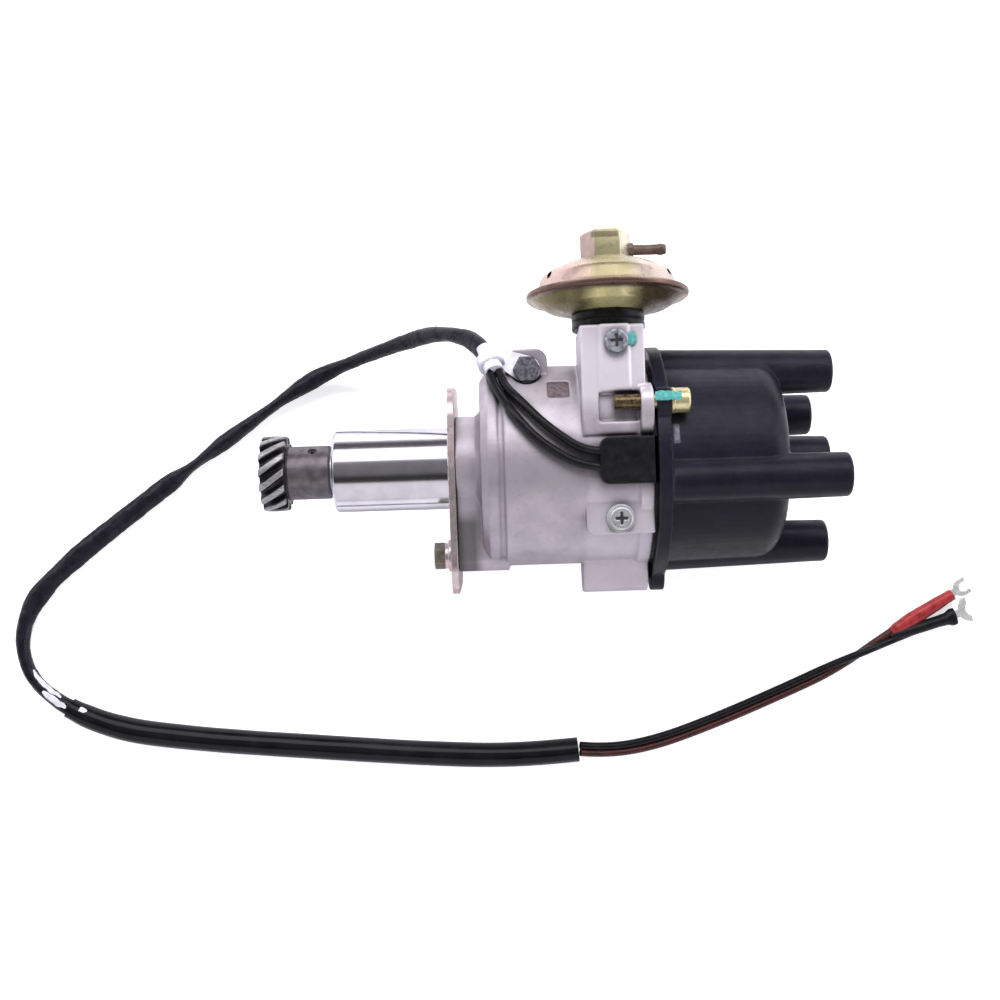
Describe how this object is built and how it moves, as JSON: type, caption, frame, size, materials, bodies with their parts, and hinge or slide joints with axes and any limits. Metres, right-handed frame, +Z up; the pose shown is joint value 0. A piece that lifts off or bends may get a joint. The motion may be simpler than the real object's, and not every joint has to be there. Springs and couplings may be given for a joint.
{
  "type": "ignition distributor",
  "caption": "Electronic ignition distributor with helical drive gear, polished shank, vacuum advance unit, moulded cap with lead towers and a two-lead harness with fork terminals.",
  "frame": {"origin": "on the shaft axis, at the fixing plate's engine-side face", "axes": "+X along the shaft from the drive gear to the cap, +Y from the shaft towards the vacuum unit, +Z up as the distributor lies on its side"},
  "size_m": [0.3573, 0.1866, 0.0867],
  "materials": {
    "cast_aluminium": "die-cast aluminium, fine matte grain",
    "zinc_steel": "yellow-pink passivated zinc",
    "bright_steel": "ground steel",
    "gear_steel": "hardened dark steel, worn tooth tips",
    "bronze": "sintered bronze",
    "brass": "bright brass",
    "chromate": "yellow chromate on zinc",
    "nipple_metal": "brown tarnished brass",
    "cap_plastic": "black moulded thermoset",
    "rotor_plastic": "dark brown moulded plastic",
    "module_plastic": "black potted module",
    "black_rubber": "soft black rubber",
    "gasket_rubber": "thin black gasket",
    "lead_black_pvc": "black PVC insulation",
    "lead_red_pvc": "dark red PVC insulation",
    "tape_black": "black harness tape",
    "tube_black": "glossy black PVC tube",
    "clear_sleeve": "clear-white sleeve",
    "red_sleeve": "red vinyl sleeve",
    "tinned_copper": "tinned copper",
    "magnet": "ferrite magnet",
    "coil_winding": "taped winding",
    "carbon": "carbon"
  },
  "bodies": {
    "case": {"housing": "cast_aluminium", "lower_bush": "bronze", "upper_bush": "bronze", "thrust_washer": "bright_steel", "clamp_bolt": "zinc_steel", "clamp_washers": "zinc_steel", "upper_thrust_washer": "bright_steel", "pickup_base_plate": "zinc_steel", "plate_circlip": "bright_steel", "side_screws": "bright_steel", "igniter_module": "module_plastic", "lead_grommet": "black_rubber", "vacuum_screw": "bright_steel", "cap_gasket": "gasket_rubber", "distributor_cap": "cap_plastic", "plug_terminals": "brass", "coil_terminal": "brass", "brush_spring": "bright_steel", "cap_screws": "chromate", "vacuum_seal_ring": "black_rubber", "vacuum_shell_lower": "chromate", "vacuum_shell_upper": "chromate", "vacuum_nipple": "nipple_metal", "vacuum_diaphragm": "black_rubber", "vacuum_spring": "bright_steel", "igniter_leads": "lead_black_pvc", "module_cable": "lead_black_pvc", "harness_clip": "bright_steel", "clip_bolt": "bright_steel", "harness_sleeve": "clear_sleeve", "harness_sheath": "tape_black", "harness_tube": "tube_black", "lead_red": "lead_red_pvc", "lead_black": "lead_black_pvc", "red_terminal_sleeve": "red_sleeve", "black_terminal_sleeve": "tube_black", "red_fork_terminal": "tinned_copper", "black_fork_terminal": "tinned_copper"},
    "plate": {"fixing_plate": "zinc_steel"},
    "shaft": {"drive_shaft": "bright_steel", "drive_gear": "gear_steel", "gear_roll_pin": "gear_steel", "governor_plate": "bright_steel", "weight_pins": "bright_steel", "rotor_shaft_screw": "bright_steel", "governor_springs": "bright_steel"},
    "rotor": {"rotor_shaft": "bright_steel", "reluctor": "bright_steel", "reluctor_key": "bright_steel", "rotor_arm": "rotor_plastic", "rotor_electrode": "brass"},
    "weight_1": {"governor_weight_1": "bright_steel"},
    "weight_2": {"governor_weight_2": "bright_steel"},
    "pickup": {"pickup_plate": "zinc_steel", "magnet_ring": "magnet", "pickup_coil": "coil_winding", "stator": "bright_steel"},
    "rod": {"vacuum_rod": "bright_steel"},
    "brush": {"carbon_brush": "carbon"}
  },
  "joints": [
    {"name": "plate_swing", "type": "hinge", "parent": "case", "child": "plate", "pos_m": [0, 0, 0], "axis": [1, 0, 0], "range_deg": [-8, 8]},
    {"name": "shaft_spin", "type": "hinge", "parent": "case", "child": "shaft", "pos_m": [0, 0, 0], "axis": [1, 0, 0], "continuous": true},
    {"name": "rotor_advance", "type": "hinge", "parent": "shaft", "child": "rotor", "pos_m": [0.03, 0, 0], "axis": [1, 0, 0], "range_deg": [0, 12], "stiffness_Nm_per_rad": 0.05, "deforming": ["governor_springs"]},
    {"name": "weight_1_swing", "type": "hinge", "parent": "shaft", "child": "weight_1", "pos_m": [0.0236, 0.0165, 0], "axis": [1, 0, 0], "range_deg": [-15, 0]},
    {"name": "weight_2_swing", "type": "hinge", "parent": "shaft", "child": "weight_2", "pos_m": [0.0236, -0.0165, 0], "axis": [1, 0, 0], "range_deg": [-15, 0]},
    {"name": "vacuum_pull", "type": "slide", "parent": "case", "child": "rod", "axis": [0, 0.9986, -0.0523], "range_m": [0, 0.00409], "stiffness_N_per_m": 600, "springref_m": -0.002, "deforming": ["vacuum_spring"]},
    {"name": "pickup_turn", "type": "hinge", "parent": "case", "child": "pickup", "pos_m": [0.05, 0, 0], "axis": [1, 0, 0], "range_deg": [-10, 0]},
    {"name": "brush_slide", "type": "slide", "parent": "case", "child": "brush", "axis": [1, 0, 0], "range_m": [0, 0.0015], "stiffness_N_per_m": 150, "deforming": ["brush_spring"]}
  ],
  "couplings": [
    {"joint": "weight_1_swing", "follows": "rotor_advance", "ratio": -1.25},
    {"joint": "weight_2_swing", "follows": "rotor_advance", "ratio": -1.25},
    {"joint": "pickup_turn", "follows": "vacuum_pull", "rad_per_m": -42.6}
  ]
}
